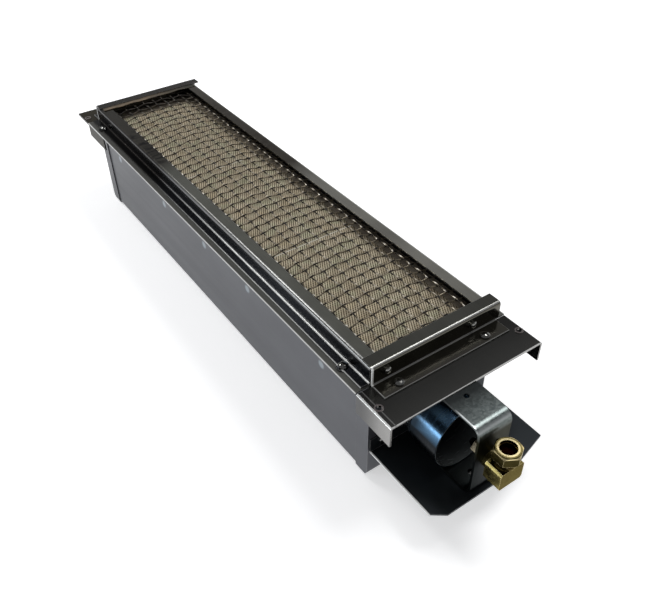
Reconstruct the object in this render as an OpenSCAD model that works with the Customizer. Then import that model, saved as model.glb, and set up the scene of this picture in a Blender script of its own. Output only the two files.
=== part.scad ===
// Ceramic infrared gas burner: a folded steel box closed by three ceramic tiles,
// a raised frame with a wire screen over them, and a venturi tube with a brass gas inlet.
// Drawing frame: x across the burner, y from the front end face to the rear, z up from the rim.

/* [Burner box] */
// Length of the box over its end caps
box_len = 520; // [480:1:600]
// Width across the side walls of the box
box_w = 121; // [112:0.5:130]
// Depth of the box below its rim
box_h = 105.5; // [98:0.5:130]
// Thickness of the folded steel sheet
sheet = 1.2; // [1:0.1:1.4]
// Width of each outward rim flange past the side wall
rim_flange = 13; // [12:0.25:16]
// Outer radius of the two long bottom folds
fold_r = 4; // [2:0.5:6]
// Length of the end cap skirt along the box
cap_skirt = 15; // [8:1:24]
// Radius of the rounded lower nose of each end cap
nose_r = 11; // [7:0.5:14]

/* [Screen frame] */
// Step of each side rail in from the side wall of the box
rail_step = 0.5; // [0:0.25:2]
// Height of the side rails above the rim
rail_h = 16.6; // [16:0.2:22]
// Width of the inward top flange of rails and clamps
rail_top_w = 12; // [9:0.5:14]
// Width of the outward lower flange of the rails
rail_foot_w = 8; // [7.5:0.5:10]
// Outer radius of the upper folds of rails and clamps
bend_r = 3; // [2.5:0.25:3.5]
// Distance of each rail screw from the end of the box
rail_screw_end = 28; // [26:1:34]
// How far the clamps reach past the rails on the right
clamp_reach = 5; // [0:0.5:8]
// Depth of the clamp feet in front of the box
clamp_foot = 15; // [13:0.5:18]
// Distance between the two screws of a clamp foot
clamp_screw_pitch = 84; // [60:2:100]

/* [Tiles and screen] */
// Distance from the front of the box to the first tile
tile_lead = 6; // [5:0.5:12]
// Distance from the last tile to the rear of the box
tile_trail = 24; // [6:1:30]
// Width of one ceramic tile
tile_w = 92; // [80:1:94]
// Thickness of one ceramic tile
tile_t = 13; // [12:0.5:13]
// Height of the tile tops above the rim
tile_top = 3.5; // [2:0.25:4]
// Width of a cement joint between two tiles
joint_w = 2; // [1:0.25:3]
// Pitch of the screen wires in both directions
wire_pitch = 11.1; // [10:0.1:14]
// Diameter of a screen wire
wire_d = 1.3; // [1:0.1:1.8]
// Rise of the bowed screen from its edges to its crest
screen_bow = 6; // [4:0.5:8]

/* [Hanger plates] */
// Thickness of the hanger plates
plate_t = 1.5; // [1.2:0.1:2]
// Reach of the front hanger plate past the box
front_reach = 38.3; // [34:0.5:44]
// Depth of the side lips of the front plate
front_lip = 19; // [12:0.5:24]
// Reach of the rear hanger plate past the box
rear_reach = 31; // [26:0.5:40]
// Length of the two rear plate arms along the box
rear_arm = 46; // [44:1:60]
// Depth of the side lips of the rear plate
rear_lip = 14.3; // [10:0.1:20]
// Diameter of the four hanging holes
hang_hole_d = 4.8; // [4:0.1:5]

/* [Gas inlet] */
// Offset of the venturi axis from the middle of the box
gas_x = -10; // [-12:0.5:-4]
// Gap between the strap bracket and the bell mouth under it
bell_gap = 4.5; // [3:0.25:8]
// Outer diameter of the bell mouth
bell_d = 61; // [56:0.5:61]
// Distance of the bell mouth from the box front
bell_reach = 50; // [47:0.5:54]
// Outer diameter of the tube where it enters the box
tube_d = 44; // [40:1:44]
// Outer diameter of the throat inside the box
throat_d = 34; // [28:1:34]
// Length of the tube inside the box
tube_inside = 330; // [250:5:400]
// Distance of the bracket face from the box front
bracket_reach = 75; // [74:0.5:80]
// Width of the strap bracket
strap_w = 31; // [26:0.5:34]
// Thickness of the strap bracket
strap_t = 2; // [1.5:0.1:2.5]
// Width of the square elbow body
elbow_w = 22.5; // [20:0.5:24]
// Size across the flats of the inlet nut
nut_af = 19.2; // [18.6:0.1:20]
// Outer diameter of the gas pipe that the inlet takes
pipe_d = 12.7; // [12:0.05:12.7]

/* [Air shelf] */
// Gap between the bell mouth and the shelf under it
shelf_gap = 3.5; // [1:0.25:8]
// Step of the shelf sides in from the side walls of the box
shelf_step = 0.5; // [0:0.25:6]
// Reach of the shelf past the face of the strap bracket
shelf_lead = 3; // [0:0.5:8]
// Width of the cut that takes off the right front corner of the shelf
shelf_cut = 46; // [10:1:60]

/* [Fit] */
// Radial clearance of the inlet nut on its thread
run_gap = 0.05; // [0.03:0.01:0.08]
// Radial clearance of screws, tube and fittings in their holes
hole_gap = 0.2; // [0.1:0.05:0.3]

/* [Hidden] */
$fn = 96;

// Box and caps
half_w = box_w / 2;
rim_w = box_w + 2 * rim_flange;
wall_in = half_w - sheet;
seam = 0.4;
box_y0 = sheet + seam;
box_y1 = box_len - box_y0;
box_mid = box_len / 2;
cap_half = half_w + sheet;
cap_bottom = box_h + sheet;

// Frame over the tiles
rail_y0 = bend_r + 0.1;
rail_y1 = box_len - rail_y0;
rail_half = half_w - rail_step;
rail_in = rail_half - sheet;
rail_screw_x = rail_half + 5;
ear_r = 5.5;
clamp_x0 = -rail_half;
clamp_x1 = rail_half + clamp_reach;
clamp_foot_x1 = rail_half + 2;
clamp_top = rail_h + sheet;
clamp_flange = rail_top_w + 0.7;
clamp_screw_y = 8.7;
clamp_rivet_x = rail_half - 18.5;
clamp_rivet_shift = -3.7;
clamp_rivet_z = 8;

// Plates
rear_plate_top = -sheet;
rear_plate_under = rear_plate_top - plate_t;
plate_fold_r = 2;
hang_x = rim_w / 2 - 5;
hang_front_y = -19;
hang_rear_y = box_len + 13;
eyelet_w = 1;
eyelet_h = 0.6;
arm_in = cap_half + 0.3;

// Tray, tiles and screen
tile_count = 3;
tray_t = 1;
tray_skirt = 36;
pocket_gap = 0.5;
gasket_t = 1;
lip_w = 6.5;
tile_bottom = tile_top - tile_t;
lip_top = tile_bottom - gasket_t;
tile_y0 = tile_lead;
tile_row = box_len - tile_lead - tile_trail;
tile_len = (tile_row - (tile_count - 1) * joint_w) / tile_count;
joint_sink = 0.5;
pocket_x = tile_w / 2 + pocket_gap;
pocket_y0 = tile_y0 - pocket_gap;
pocket_y1 = tile_y0 + tile_row + pocket_gap;
wire_r = wire_d / 2;
wire_gap = 0.05;
wire_drop = 0.015;
screen_gap = 0.3;
screen_crest = rail_h - wire_r - 0.1;
screen_half = rail_in - screen_gap;
screen_r = (pow(screen_half, 2) + pow(screen_bow, 2)) / (2 * screen_bow);
screen_y0 = sheet + screen_gap;
screen_y1 = box_len - screen_y0;
cross_count = floor((screen_y1 - screen_y0 - wire_d) / wire_pitch / 2);
long_count = floor((screen_half - wire_d) / wire_pitch);

// Gas path
bell_r = bell_d / 2;
gas_depth = plate_t + strap_t + bell_gap + bell_r;
gas_z = -gas_depth;
tube_r = tube_d / 2;
tray_end_skirt = gas_depth - tube_r - 2.5;
throat_r = throat_d / 2;
bell_straight = 28;
cone_front = -4;
neck_end = 30;
throat_start = 80;
collar_w = 8;
collar_t = 1.5;
collar_r = tube_r + hole_gap;
hub_w = 2;
baffle_top = gas_z + throat_r + 2.5;
baffle_t = 1;
baffle_y0 = throat_start + 15;
baffle_y1 = box_len - 20;
baffle_hole_d = 8;
baffle_fold = 10;
baffle_rows = 16;
baffle_columns = 4;
saddle_y = tube_inside - 40;
saddle_foot = 16;
saddle_half = 26;
saddle_rise = 6;
saddle_t = 2;
saddle_rivet_x = saddle_half - 6;
saddle_rivet_y = saddle_y + saddle_foot - 6;
floor_z = -box_h + sheet;

// Bracket, elbow and nut
bracket_y = -bracket_reach;
strap_fold_r = 8;
strap_top_end = -4;
strap_foot = 30;
strap_hole_y = -44.5;
strap_hole_r = 2.2;
strap_rivet_ys = [bracket_y + 14, bracket_y + 30];
port_y = bracket_y - 13;
elbow_front = port_y - 7.5;
elbow_back = bracket_y - 5;
elbow_half_h = 8.5;
elbow_round_r = elbow_w * 0.58;
seat_r = 8;
elbow_top = gas_z + elbow_half_h;
neck_r = pipe_d / 2 + 1.6;
neck_top = elbow_top + 12.5;
pipe_r = pipe_d / 2 + 0.05;
pipe_seat = 8;
nut_bore_gap = 0.25;
gas_bore_r = 4;
nut_bottom = elbow_top + 6;
nut_h = 9.5;
nut_top = nut_bottom + nut_h;
nut_roof = nut_top - 2;
nut_corner = nut_af / sqrt(3);
shank_r = 6.3;
shank_len = 9;
lock_nut_r = 17.5 / sqrt(3);
lock_nut_h = 4;
spud_hex_r = 6.4;
spud_hex_h = 5;
spud_tip_h = 5;
spud_tail = 4;
spud_wall = 4;
jet_r = 0.9;

// Shelf
shelf_t = 1.5;
shelf_top = gas_z - bell_r - shelf_gap;
shelf_half = half_w - shelf_step;
shelf_y = bracket_y - shelf_lead;
left_cut_w = 11.5;
left_cut_h = 8.5;
right_cut_h = 12;
shelf_ring_gap = 1;
shelf_back_h = 14;
shelf_screw_x = shelf_half - 12;
shelf_screw_z = shelf_top + 7.5;

// Fasteners
screw_r = 2;
screw_hole_r = screw_r + hole_gap;
screw_head_r = 4;
screw_head_h = 2.6;
screw_len = 8;
small_nut_af = 7;
small_nut_h = 3.2;
rivet_r = 1.6;
rivet_hole_r = rivet_r + hole_gap;
rivet_head_r = 3;
rivet_head_h = 1.5;
rivet_dome_r = 4;
rivet_button_h = 1;
screw_dome_r = 6;
slot_w = 0.8;
slot_len = 4.4;
slot_depth = 1.2;

// Where the origin sits: under the middle of the whole burner, at its lowest face
front_end = port_y - nut_corner;
rear_end = box_len + rear_reach;
shift_y = -(front_end + rear_end) / 2;
shift_z = cap_bottom;
eps = 0.01;
deep = 60;

module at_origin() {
    translate([0, shift_y, shift_z]) children();
}

// Copies its child at the mirrored x as well
module both_sides() {
    children();
    mirror([1, 0, 0]) children();
}

// Turns a drawing in x and z into a bar that runs along y
module along_y(y0, y1) {
    translate([0, y1, 0]) rotate([90, 0, 0]) linear_extrude(y1 - y0) children();
}

// Turns a drawing in y and z into a bar that runs along x
module along_x(x0, x1) {
    translate([x0, 0, 0]) rotate([90, 0, 90]) linear_extrude(x1 - x0) children();
}

module box_from(a, b) {
    translate(a) cube(b - a);
}

// Rectangle whose two lower corners are round
module round_bottom(x0, x1, z0, z1, r) {
    translate([x0, z0 + r]) square([x1 - x0, z1 - z0 - r]);
    translate([x0 + r, z0]) square([x1 - x0 - 2 * r, r + eps]);
    for (x = [x0 + r, x1 - r]) translate([x, z0 + r]) circle(r);
}

// Quarter of a ring, the section of a fold in sheet of thickness t
module fold(r, t) {
    intersection() {
        difference() {
            circle(r);
            circle(r - t);
        }
        translate([-r, 0]) square(r);
    }
}

// Section of a rail or a clamp: foot to the left, upright from the foot, top flange to the right
module step_section(foot_w, foot_z, height, top_w, t) {
    translate([-foot_w, foot_z]) square([foot_w + t, t]);
    translate([0, foot_z]) square([t, height - bend_r - foot_z]);
    translate([bend_r, height - bend_r]) fold(bend_r, t);
    translate([bend_r, height - t]) square([top_w - bend_r, t]);
}

// Round hole or pin that runs along y, centred on x and z
module rod_y(x, z, y0, y1, r) {
    translate([x, y1, z]) rotate([90, 0, 0]) cylinder(h = y1 - y0, r = r);
}

// Hexagonal prism on its base, size across flats, corners to front and rear
module hexagon(af, h) {
    rotate(30) cylinder(h = h, r = af / sqrt(3), $fn = 6);
}

// Pan head screw that points down, its head seated at z = 0
module pan_screw(len) {
    difference() {
        intersection() {
            cylinder(h = screw_head_h, r = screw_head_r);
            translate([0, 0, screw_head_h - screw_dome_r]) sphere(screw_dome_r);
        }
        for (a = [0, 90]) rotate(a) translate([-slot_len / 2, -slot_w / 2, screw_head_h - slot_depth])
            cube([slot_len, slot_w, 2 * slot_depth]);
    }
    translate([0, 0, -len]) cylinder(h = len + eps, r = screw_r);
}

// Hexagon nut with its seat at z = 0, hanging below it
module small_nut() {
    translate([0, 0, -small_nut_h]) difference() {
        hexagon(small_nut_af, small_nut_h);
        translate([0, 0, -1]) cylinder(h = small_nut_h + 2, r = screw_r + run_gap);
    }
}

// Domed rivet that points down, its lower end flush with the far side of the grip
module rivet_flush(grip) {
    intersection() {
        cylinder(h = rivet_head_h, r = rivet_head_r);
        translate([0, 0, rivet_head_h - rivet_dome_r]) sphere(rivet_dome_r);
    }
    translate([0, 0, -grip]) cylinder(h = grip + eps, r = rivet_r);
}

// Domed rivet closed by a smaller button under the grip
module rivet(grip) {
    rivet_flush(grip + eps);
    translate([0, 0, -grip - rivet_button_h]) cylinder(h = rivet_button_h, r = rivet_r + 0.7);
}

module rail_screw_places() {
    for (x = [-rail_screw_x, rail_screw_x], y = [rail_screw_end, box_len - rail_screw_end])
        translate([x, y, 0]) children();
}

module saddle_rivet_places() {
    for (s = [-1, 1]) translate([gas_x + s * saddle_rivet_x, saddle_rivet_y, 0]) children();
}

// Folded trough with its two outward rim flanges
module burner_box() {
    color("#74777d") at_origin() difference() {
        intersection() {
            along_y(box_y0, box_y1) {
                difference() {
                    round_bottom(-half_w, half_w, -box_h, 0, fold_r);
                    round_bottom(-wall_in, wall_in, floor_z, 1, fold_r - sheet);
                }
                for (s = [-1, 1]) translate([s > 0 ? wall_in : -rim_w / 2, -sheet])
                    square([rim_w / 2 - wall_in, sheet]);
            }
            along_x(-rim_w, rim_w) round_bottom(box_y0, box_y1, -box_h, 1, nose_r - sheet);
        }
        rail_screw_places() translate([0, 0, -5]) cylinder(h = 10, r = screw_hole_r);
        saddle_rivet_places() translate([0, 0, -box_h - 5]) cylinder(h = 10, r = rivet_hole_r);
    }
}

// Outer form of an end cap, taken in by g on its closed sides
module cap_form(g, top) {
    reach = g > 0 ? cap_skirt + 5 : cap_skirt;
    r = nose_r - g;
    intersection() {
        along_x(-cap_half + g, cap_half - g) {
            translate([g, -cap_bottom + nose_r]) square([reach - g, cap_bottom - nose_r + top]);
            translate([nose_r, -cap_bottom + g]) square([reach - nose_r, r + eps]);
            translate([nose_r, -cap_bottom + nose_r]) intersection() {
                circle(r);
                translate([-r, -r]) square([r + eps, r + eps]);
            }
        }
        along_y(-1, cap_skirt + 10)
            round_bottom(-cap_half + g, cap_half - g, -cap_bottom + g, top, fold_r + sheet - g);
    }
}

// Pan shaped cap over one end of the trough, open on top
module end_cap(top) {
    difference() {
        cap_form(0, top);
        cap_form(sheet, top + 5);
    }
}

// Front cap with the round hole for the venturi tube
module front_cap() {
    color("#686b72") at_origin() difference() {
        end_cap(-plate_t);
        rod_y(gas_x, gas_z, -5, 5, collar_r);
        for (x = [-shelf_screw_x, shelf_screw_x]) rod_y(x, shelf_screw_z, -5, 5, screw_hole_r);
    }
}

module rear_cap() {
    color("#686b72") at_origin() translate([0, box_len, 0]) mirror([0, 1, 0]) end_cap(rear_plate_under);
}

// Tray with side skirts, a ledge and a sunken pocket that carries the tiles on a lip
module tile_tray() {
    color("#33312f") at_origin() {
        both_sides() box_from([wall_in - tray_t, box_y0, -tray_skirt], [wall_in, box_y1, 0]);
        for (y = [box_y0, box_y1 - tray_t])
            box_from([-wall_in, y, -tray_end_skirt], [wall_in, y + tray_t, 0]);
        difference() {
            union() {
                box_from([-wall_in, box_y0, -tray_t], [wall_in, box_y1, 0]);
                box_from([-pocket_x - tray_t, pocket_y0 - tray_t, lip_top - tray_t],
                    [pocket_x + tray_t, pocket_y1 + tray_t, 0]);
            }
            box_from([-pocket_x, pocket_y0, lip_top], [pocket_x, pocket_y1, deep]);
            box_from([-pocket_x + lip_w, pocket_y0 + lip_w, -deep],
                [pocket_x - lip_w, pocket_y1 - lip_w, deep]);
        }
    }
}

// Fibre strip ring between the tiles and the lip of the tray
module tile_gasket() {
    color("#d8d2c2") at_origin() difference() {
        box_from([-pocket_x, pocket_y0, lip_top], [pocket_x, pocket_y1, tile_bottom]);
        box_from([-pocket_x + lip_w, pocket_y0 + lip_w, lip_top - 1],
            [pocket_x - lip_w, pocket_y1 - lip_w, tile_bottom + 1]);
    }
}

// One ceramic tile of the row, counted from the front
module ceramic_tile(i) {
    y0 = tile_y0 + i * (tile_len + joint_w);
    color("#a49c84") at_origin()
        box_from([-tile_w / 2, y0, tile_bottom], [tile_w / 2, y0 + tile_len, tile_top]);
}

// Cement joints between the tiles, a little below their tops
module joint_strips() {
    color("#b5ad96") at_origin() for (i = [1 : tile_count - 1]) {
        y0 = tile_y0 + i * tile_len + (i - 1) * joint_w;
        box_from([-tile_w / 2, y0, tile_bottom], [tile_w / 2, y0 + joint_w, tile_top - joint_sink]);
    }
}

// Height of the bowed cross wires at the distance x from the middle
function bow_z(x) = screen_crest - screen_r + sqrt(pow(screen_r, 2) - pow(x, 2));

// Screen of bowed cross wires over straight long wires
module wire_screen() {
    half_angle = asin(screen_half / screen_r);
    color("#4c4a44") at_origin() {
        for (k = [-cross_count : cross_count])
            translate([0, box_mid + k * wire_pitch, screen_crest - screen_r])
                rotate([90, 0, 0]) rotate(90 - half_angle)
                    rotate_extrude(angle = 2 * half_angle) translate([screen_r, 0])
                        circle(wire_r, $fn = 24);
        for (k = [-long_count : long_count])
            rod_y(k * wire_pitch, bow_z(k * wire_pitch) - wire_d - wire_gap - abs(k) * wire_drop,
                screen_y0, screen_y1, wire_r, $fn = 24);
    }
}

// Side rail: lower flange outward, upright, top flange inward, round ears at its screws
module side_rail() {
    difference() {
        union() {
            translate([-rail_half, 0, 0]) along_y(rail_y0, rail_y1)
                step_section(rail_foot_w, 0, rail_h, rail_top_w, sheet);
            for (y = [rail_screw_end, box_len - rail_screw_end])
                translate([-rail_screw_x, y, 0]) cylinder(h = sheet, r = ear_r);
        }
        for (y = [rail_screw_end, box_len - rail_screw_end])
            translate([-rail_screw_x, y, -5]) cylinder(h = 10, r = screw_hole_r);
    }
}

module left_rail() {
    color("#4b4a45") at_origin() side_rail();
}

module right_rail() {
    color("#4b4a45") at_origin() mirror([1, 0, 0]) side_rail();
}

module clamp_screw_holes() {
    for (s = [-1, 1]) translate([s * clamp_screw_pitch / 2, -clamp_screw_y, -10])
        cylinder(h = 20, r = screw_hole_r);
}

// End clamp: foot on the hanger plate at foot_z, upright, top flange over the rail ends
module end_clamp(foot_z) {
    difference() {
        union() {
            intersection() {
                along_x(clamp_x0, clamp_x1)
                    step_section(clamp_foot, foot_z, clamp_top, clamp_flange, sheet);
                box_from([clamp_x0, -clamp_foot, foot_z], [clamp_foot_x1, clamp_flange, clamp_top]);
            }
            along_x(clamp_x0, clamp_x1) intersection() {
                step_section(clamp_foot, foot_z, clamp_top, clamp_flange, sheet);
                translate([0, foot_z + 1 + sheet]) square([clamp_flange, clamp_top]);
            }
        }
        clamp_screw_holes();
        for (s = [-1, 1])
            rod_y(s * clamp_rivet_x + clamp_rivet_shift, clamp_rivet_z, -5, 5, rivet_hole_r);
    }
}

module front_clamp() {
    color("#45443f") at_origin() end_clamp(0);
}

module rear_clamp() {
    color("#45443f") at_origin() translate([0, box_len, 0]) mirror([0, 1, 0]) end_clamp(rear_plate_top);
}

// Section of a hanger plate across the burner: flat top and two lips folded down
module lipped_section(top, lip) {
    half = rim_w / 2;
    translate([-half + plate_fold_r, top - plate_t]) square([2 * (half - plate_fold_r), plate_t]);
    for (s = [0, 1]) mirror([s, 0]) {
        translate([-half + plate_fold_r, top - plate_fold_r]) fold(plate_fold_r, plate_t);
        translate([-half, top - lip]) square([plate_t, lip - plate_fold_r]);
    }
}

// Pair of hanging holes with a small raised eyelet round each
module eyelets(y, top) {
    for (x = [-hang_x, hang_x]) translate([x, y, top - eps])
        cylinder(h = eyelet_h + eps, r = hang_hole_d / 2 + eyelet_w);
}

module eyelet_holes(y) {
    for (x = [-hang_x, hang_x]) translate([x, y, -20]) cylinder(h = 40, r = hang_hole_d / 2);
}

// Front hanger plate with a lip down each side
module front_plate() {
    color("#3a3936") at_origin() difference() {
        union() {
            along_y(-front_reach, box_y0 - 1) lipped_section(0, front_lip);
            eyelets(hang_front_y, 0);
        }
        eyelet_holes(hang_front_y);
        clamp_screw_holes();
    }
}

// Rear hanger plate: a web behind the box and two lipped arms under the rim
module rear_plate() {
    color("#3a3936") at_origin() difference() {
        union() {
            box_from([-rim_w / 2, box_len - rear_arm, rear_plate_under],
                [rim_w / 2, rear_end, rear_plate_top]);
            both_sides() box_from([rim_w / 2 - plate_t, box_len - rear_arm, rear_plate_top - rear_lip],
                [rim_w / 2, box_len - 2, rear_plate_top]);
            eyelets(hang_rear_y, rear_plate_top);
        }
        box_from([-arm_in, 0, -deep], [arm_in, box_len - sheet, deep]);
        eyelet_holes(hang_rear_y);
        rail_screw_places() translate([0, 0, -5]) cylinder(h = 10, r = screw_hole_r);
        translate([0, box_len, 0]) mirror([0, 1, 0]) clamp_screw_holes();
    }
}

// Perforated plate that spreads the gas under the tiles, its sides folded down
module baffle_plate() {
    side = wall_in - tray_t;
    row_pitch = (baffle_y1 - baffle_y0) / (baffle_rows + 1);
    column_pitch = 2 * side / (baffle_columns + 1);
    color("#5c5d60") at_origin() {
        difference() {
            box_from([-side, baffle_y0, baffle_top - baffle_t], [side, baffle_y1, baffle_top]);
            for (i = [1 : baffle_columns], j = [1 : baffle_rows])
                translate([-side + i * column_pitch, baffle_y0 + j * row_pitch, baffle_top - 5])
                    cylinder(h = 10, d = baffle_hole_d);
        }
        both_sides() box_from([side - baffle_t, baffle_y0, baffle_top - baffle_fold],
            [side, baffle_y1, baffle_top]);
    }
}

// Half section of the venturi tube: bell mouth, cone, neck, cone and throat
module tube_section(g) {
    polygon([
        [0, -bell_reach - g], [bell_r - g, -bell_reach - g],
        [bell_r - g, -bell_reach + bell_straight], [tube_r - g, cone_front],
        [tube_r - g, neck_end], [throat_r - g, throat_start],
        [throat_r - g, tube_inside + g], [0, tube_inside + g]]);
}

module venturi_tube() {
    color("#3f5168") at_origin() translate([gas_x, 0, gas_z]) rotate([-90, 0, 0]) rotate_extrude()
    difference() {
        tube_section(0);
        tube_section(sheet);
    }
}

// Welded ring flange that closes the front cap round the tube
module tube_collar() {
    color("#62646a") at_origin() difference() {
        union() {
            rod_y(gas_x, gas_z, -collar_t, 0, tube_r + collar_w);
            rod_y(gas_x, gas_z, -collar_t - hub_w, 0, tube_r + hub_w);
        }
        rod_y(gas_x, gas_z, -10, 5, collar_r);
    }
}

// Upright saddle that carries the inner end of the tube on the box floor
module tube_saddle() {
    color("#62646a") at_origin() difference() {
        union() {
            box_from([gas_x - saddle_half, saddle_y, floor_z],
                [gas_x + saddle_half, saddle_y + saddle_t, gas_z + saddle_rise]);
            box_from([gas_x - saddle_half, saddle_y, floor_z],
                [gas_x + saddle_half, saddle_y + saddle_foot, floor_z + sheet]);
        }
        rod_y(gas_x, gas_z, saddle_y - 5, saddle_y + 10, throat_r + hole_gap);
        box_from([gas_x - throat_r - hole_gap, saddle_y - 5, gas_z],
            [gas_x + throat_r + hole_gap, saddle_y + 10, gas_z + 50]);
        saddle_rivet_places() translate([0, 0, floor_z - 5]) cylinder(h = 10, r = rivet_hole_r);
    }
}

module saddle_rivets() {
    color("#9a9b9c") at_origin() saddle_rivet_places() translate([0, 0, floor_z + sheet])
        rivet_flush(2 * sheet);
}

// Shelf under the air inlet with cut corners and an upturned back flange
module air_shelf() {
    color("#26272a") at_origin() difference() {
        union() {
            translate([0, 0, shelf_top - shelf_t]) linear_extrude(shelf_t) polygon([
                [-shelf_half, 0], [-shelf_half, shelf_y + left_cut_h],
                [-shelf_half + left_cut_w, shelf_y], [shelf_half - shelf_cut, shelf_y],
                [shelf_half, shelf_y + right_cut_h], [shelf_half, 0]]);
            box_from([-shelf_half, -sheet, shelf_top - shelf_t],
                [shelf_half, 0, shelf_top + shelf_back_h]);
        }
        rod_y(gas_x, gas_z, -20, 10, tube_r + collar_w + shelf_ring_gap);
        for (x = [-shelf_screw_x, shelf_screw_x]) rod_y(x, shelf_screw_z, -5, 5, screw_hole_r);
        for (y = strap_rivet_ys)
            translate([gas_x, y, shelf_top - 5]) cylinder(h = 10, r = rivet_hole_r);
    }
}

module shelf_screws() {
    color("#a8a9aa") at_origin() for (x = [-shelf_screw_x, shelf_screw_x])
        translate([x, -sheet, shelf_screw_z]) rotate([90, 0, 0]) pan_screw(screw_len);
}

module shelf_nuts() {
    color("#a8a9aa") at_origin() for (x = [-shelf_screw_x, shelf_screw_x])
        translate([x, sheet, shelf_screw_z]) rotate([90, 0, 0]) small_nut();
}

// Strap bent to a C between the front plate and the shelf; its face carries the inlet
module orifice_bracket() {
    top = -plate_t;
    r = strap_fold_r;
    color("#7d8380") at_origin() difference() {
        along_x(gas_x - strap_w / 2, gas_x + strap_w / 2) {
            translate([bracket_y + r, top - strap_t]) square([strap_top_end - bracket_y - r, strap_t]);
            translate([bracket_y + r, top - r]) fold(r, strap_t);
            translate([bracket_y, shelf_top + r]) square([strap_t, top - shelf_top - 2 * r]);
            translate([bracket_y + r, shelf_top + r]) mirror([0, 1]) fold(r, strap_t);
            translate([bracket_y + r, shelf_top]) square([strap_foot, strap_t]);
        }
        rod_y(gas_x, gas_z, bracket_y - 5, bracket_y + 5, shank_r + hole_gap);
        translate([gas_x, strap_hole_y, top - 5]) cylinder(h = 10, r = strap_hole_r);
        for (y = strap_rivet_ys)
            translate([gas_x, y, shelf_top - 5]) cylinder(h = 10, r = rivet_hole_r);
    }
}

module bracket_rivets() {
    color("#9a9b9c") at_origin() for (y = strap_rivet_ys)
        translate([gas_x, y, shelf_top + strap_t]) rivet(strap_t + shelf_t);
}

// Brass elbow: square body, upright threaded neck and a shank through the bracket
module elbow_body() {
    color("#a8862f") at_origin() difference() {
        union() {
            translate([gas_x, (elbow_front + elbow_back) / 2, gas_z]) intersection() {
                cube([elbow_w, elbow_back - elbow_front, 2 * elbow_half_h], center = true);
                rotate([90, 0, 0]) cylinder(h = 40, r = elbow_round_r, center = true);
            }
            translate([gas_x, port_y, elbow_top - eps])
                cylinder(h = neck_top - elbow_top + eps, r = neck_r);
            rod_y(gas_x, gas_z, elbow_back - eps, bracket_y, seat_r);
            rod_y(gas_x, gas_z, bracket_y - eps, bracket_y + shank_len, shank_r);
        }
        translate([gas_x, port_y, neck_top - pipe_seat]) cylinder(h = 20, r = pipe_r);
        translate([gas_x, port_y, gas_z]) cylinder(h = 40, r = gas_bore_r);
        rod_y(gas_x, gas_z, port_y, bracket_y + 30, gas_bore_r);
        translate([gas_x, port_y, gas_z]) sphere(gas_bore_r);
    }
}

// Thin hexagon nut behind the bracket face
module lock_nut() {
    color("#a8862f") at_origin() translate([gas_x, bracket_y + strap_t, gas_z]) rotate([-90, 0, 0])
    difference() {
        cylinder(h = lock_nut_h, r = lock_nut_r, $fn = 6);
        translate([0, 0, -1]) cylinder(h = lock_nut_h + 2, r = shank_r + run_gap);
    }
}

// Drilled spud that screws into the shank and aims the gas into the bell
module orifice_spud() {
    color("#b3913a") at_origin() translate([gas_x, bracket_y + shank_len, gas_z]) rotate([-90, 0, 0])
    difference() {
        union() {
            translate([0, 0, -spud_tail]) cylinder(h = spud_tail + eps, r = gas_bore_r - run_gap);
            cylinder(h = spud_hex_h, r = spud_hex_r, $fn = 6);
            translate([0, 0, spud_hex_h - eps]) cylinder(h = spud_tip_h, r1 = 4.5, r2 = 2.5);
        }
        translate([0, 0, -spud_tail - 1]) cylinder(h = spud_tail + spud_hex_h + spud_wall, r = 2);
        translate([0, 0, spud_hex_h]) cylinder(h = spud_tip_h + 1, r = jet_r);
    }
}

// Brass ring that the inlet nut presses round the gas pipe
module ferrule() {
    color("#b99a45") at_origin() translate([gas_x, port_y, neck_top]) difference() {
        cylinder(h = nut_roof - neck_top - run_gap, r = neck_r - 0.4);
        translate([0, 0, -1]) cylinder(h = 5, r = pipe_d / 2 + nut_bore_gap);
    }
}

// Inlet nut that turns on the neck of the elbow
module inlet_nut() {
    color("#b08c34") at_origin() translate([gas_x, port_y, nut_bottom]) difference() {
        intersection() {
            hexagon(nut_af, nut_h);
            cylinder(h = nut_h, r1 = nut_corner + nut_h - 1.5, r2 = nut_af / 2 - 0.6);
            cylinder(h = nut_h, r2 = nut_corner + nut_h - 0.5, r1 = nut_af / 2 + 0.4);
        }
        translate([0, 0, -1]) cylinder(h = nut_roof - nut_bottom + 1, r = neck_r + run_gap);
        translate([0, 0, -1]) cylinder(h = nut_h + 2, r = pipe_d / 2 + nut_bore_gap);
    }
}

module rail_screws() {
    color("#a8a9aa") at_origin() rail_screw_places() translate([0, 0, sheet]) pan_screw(screw_len);
}

// Nuts under the rim at the front and under the rear plate arms at the back
module rail_nuts() {
    color("#a8a9aa") at_origin() for (x = [-rail_screw_x, rail_screw_x]) {
        translate([x, rail_screw_end, -sheet]) small_nut();
        translate([x, box_len - rail_screw_end, rear_plate_under]) small_nut();
    }
}

module clamp_screw_pair(foot_z) {
    for (s = [-1, 1]) translate([s * clamp_screw_pitch / 2, -clamp_screw_y, foot_z + sheet])
        pan_screw(screw_len);
}

module front_clamp_screws() {
    color("#a8a9aa") at_origin() clamp_screw_pair(0);
}

module rear_clamp_screws() {
    color("#a8a9aa") at_origin() translate([0, box_len, 0]) mirror([0, 1, 0])
        clamp_screw_pair(rear_plate_top);
}

module clamp_nuts() {
    color("#a8a9aa") at_origin() for (s = [-1, 1]) {
        translate([s * clamp_screw_pitch / 2, -clamp_screw_y, -plate_t]) small_nut();
        translate([s * clamp_screw_pitch / 2, box_len + clamp_screw_y, rear_plate_under]) small_nut();
    }
}

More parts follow.
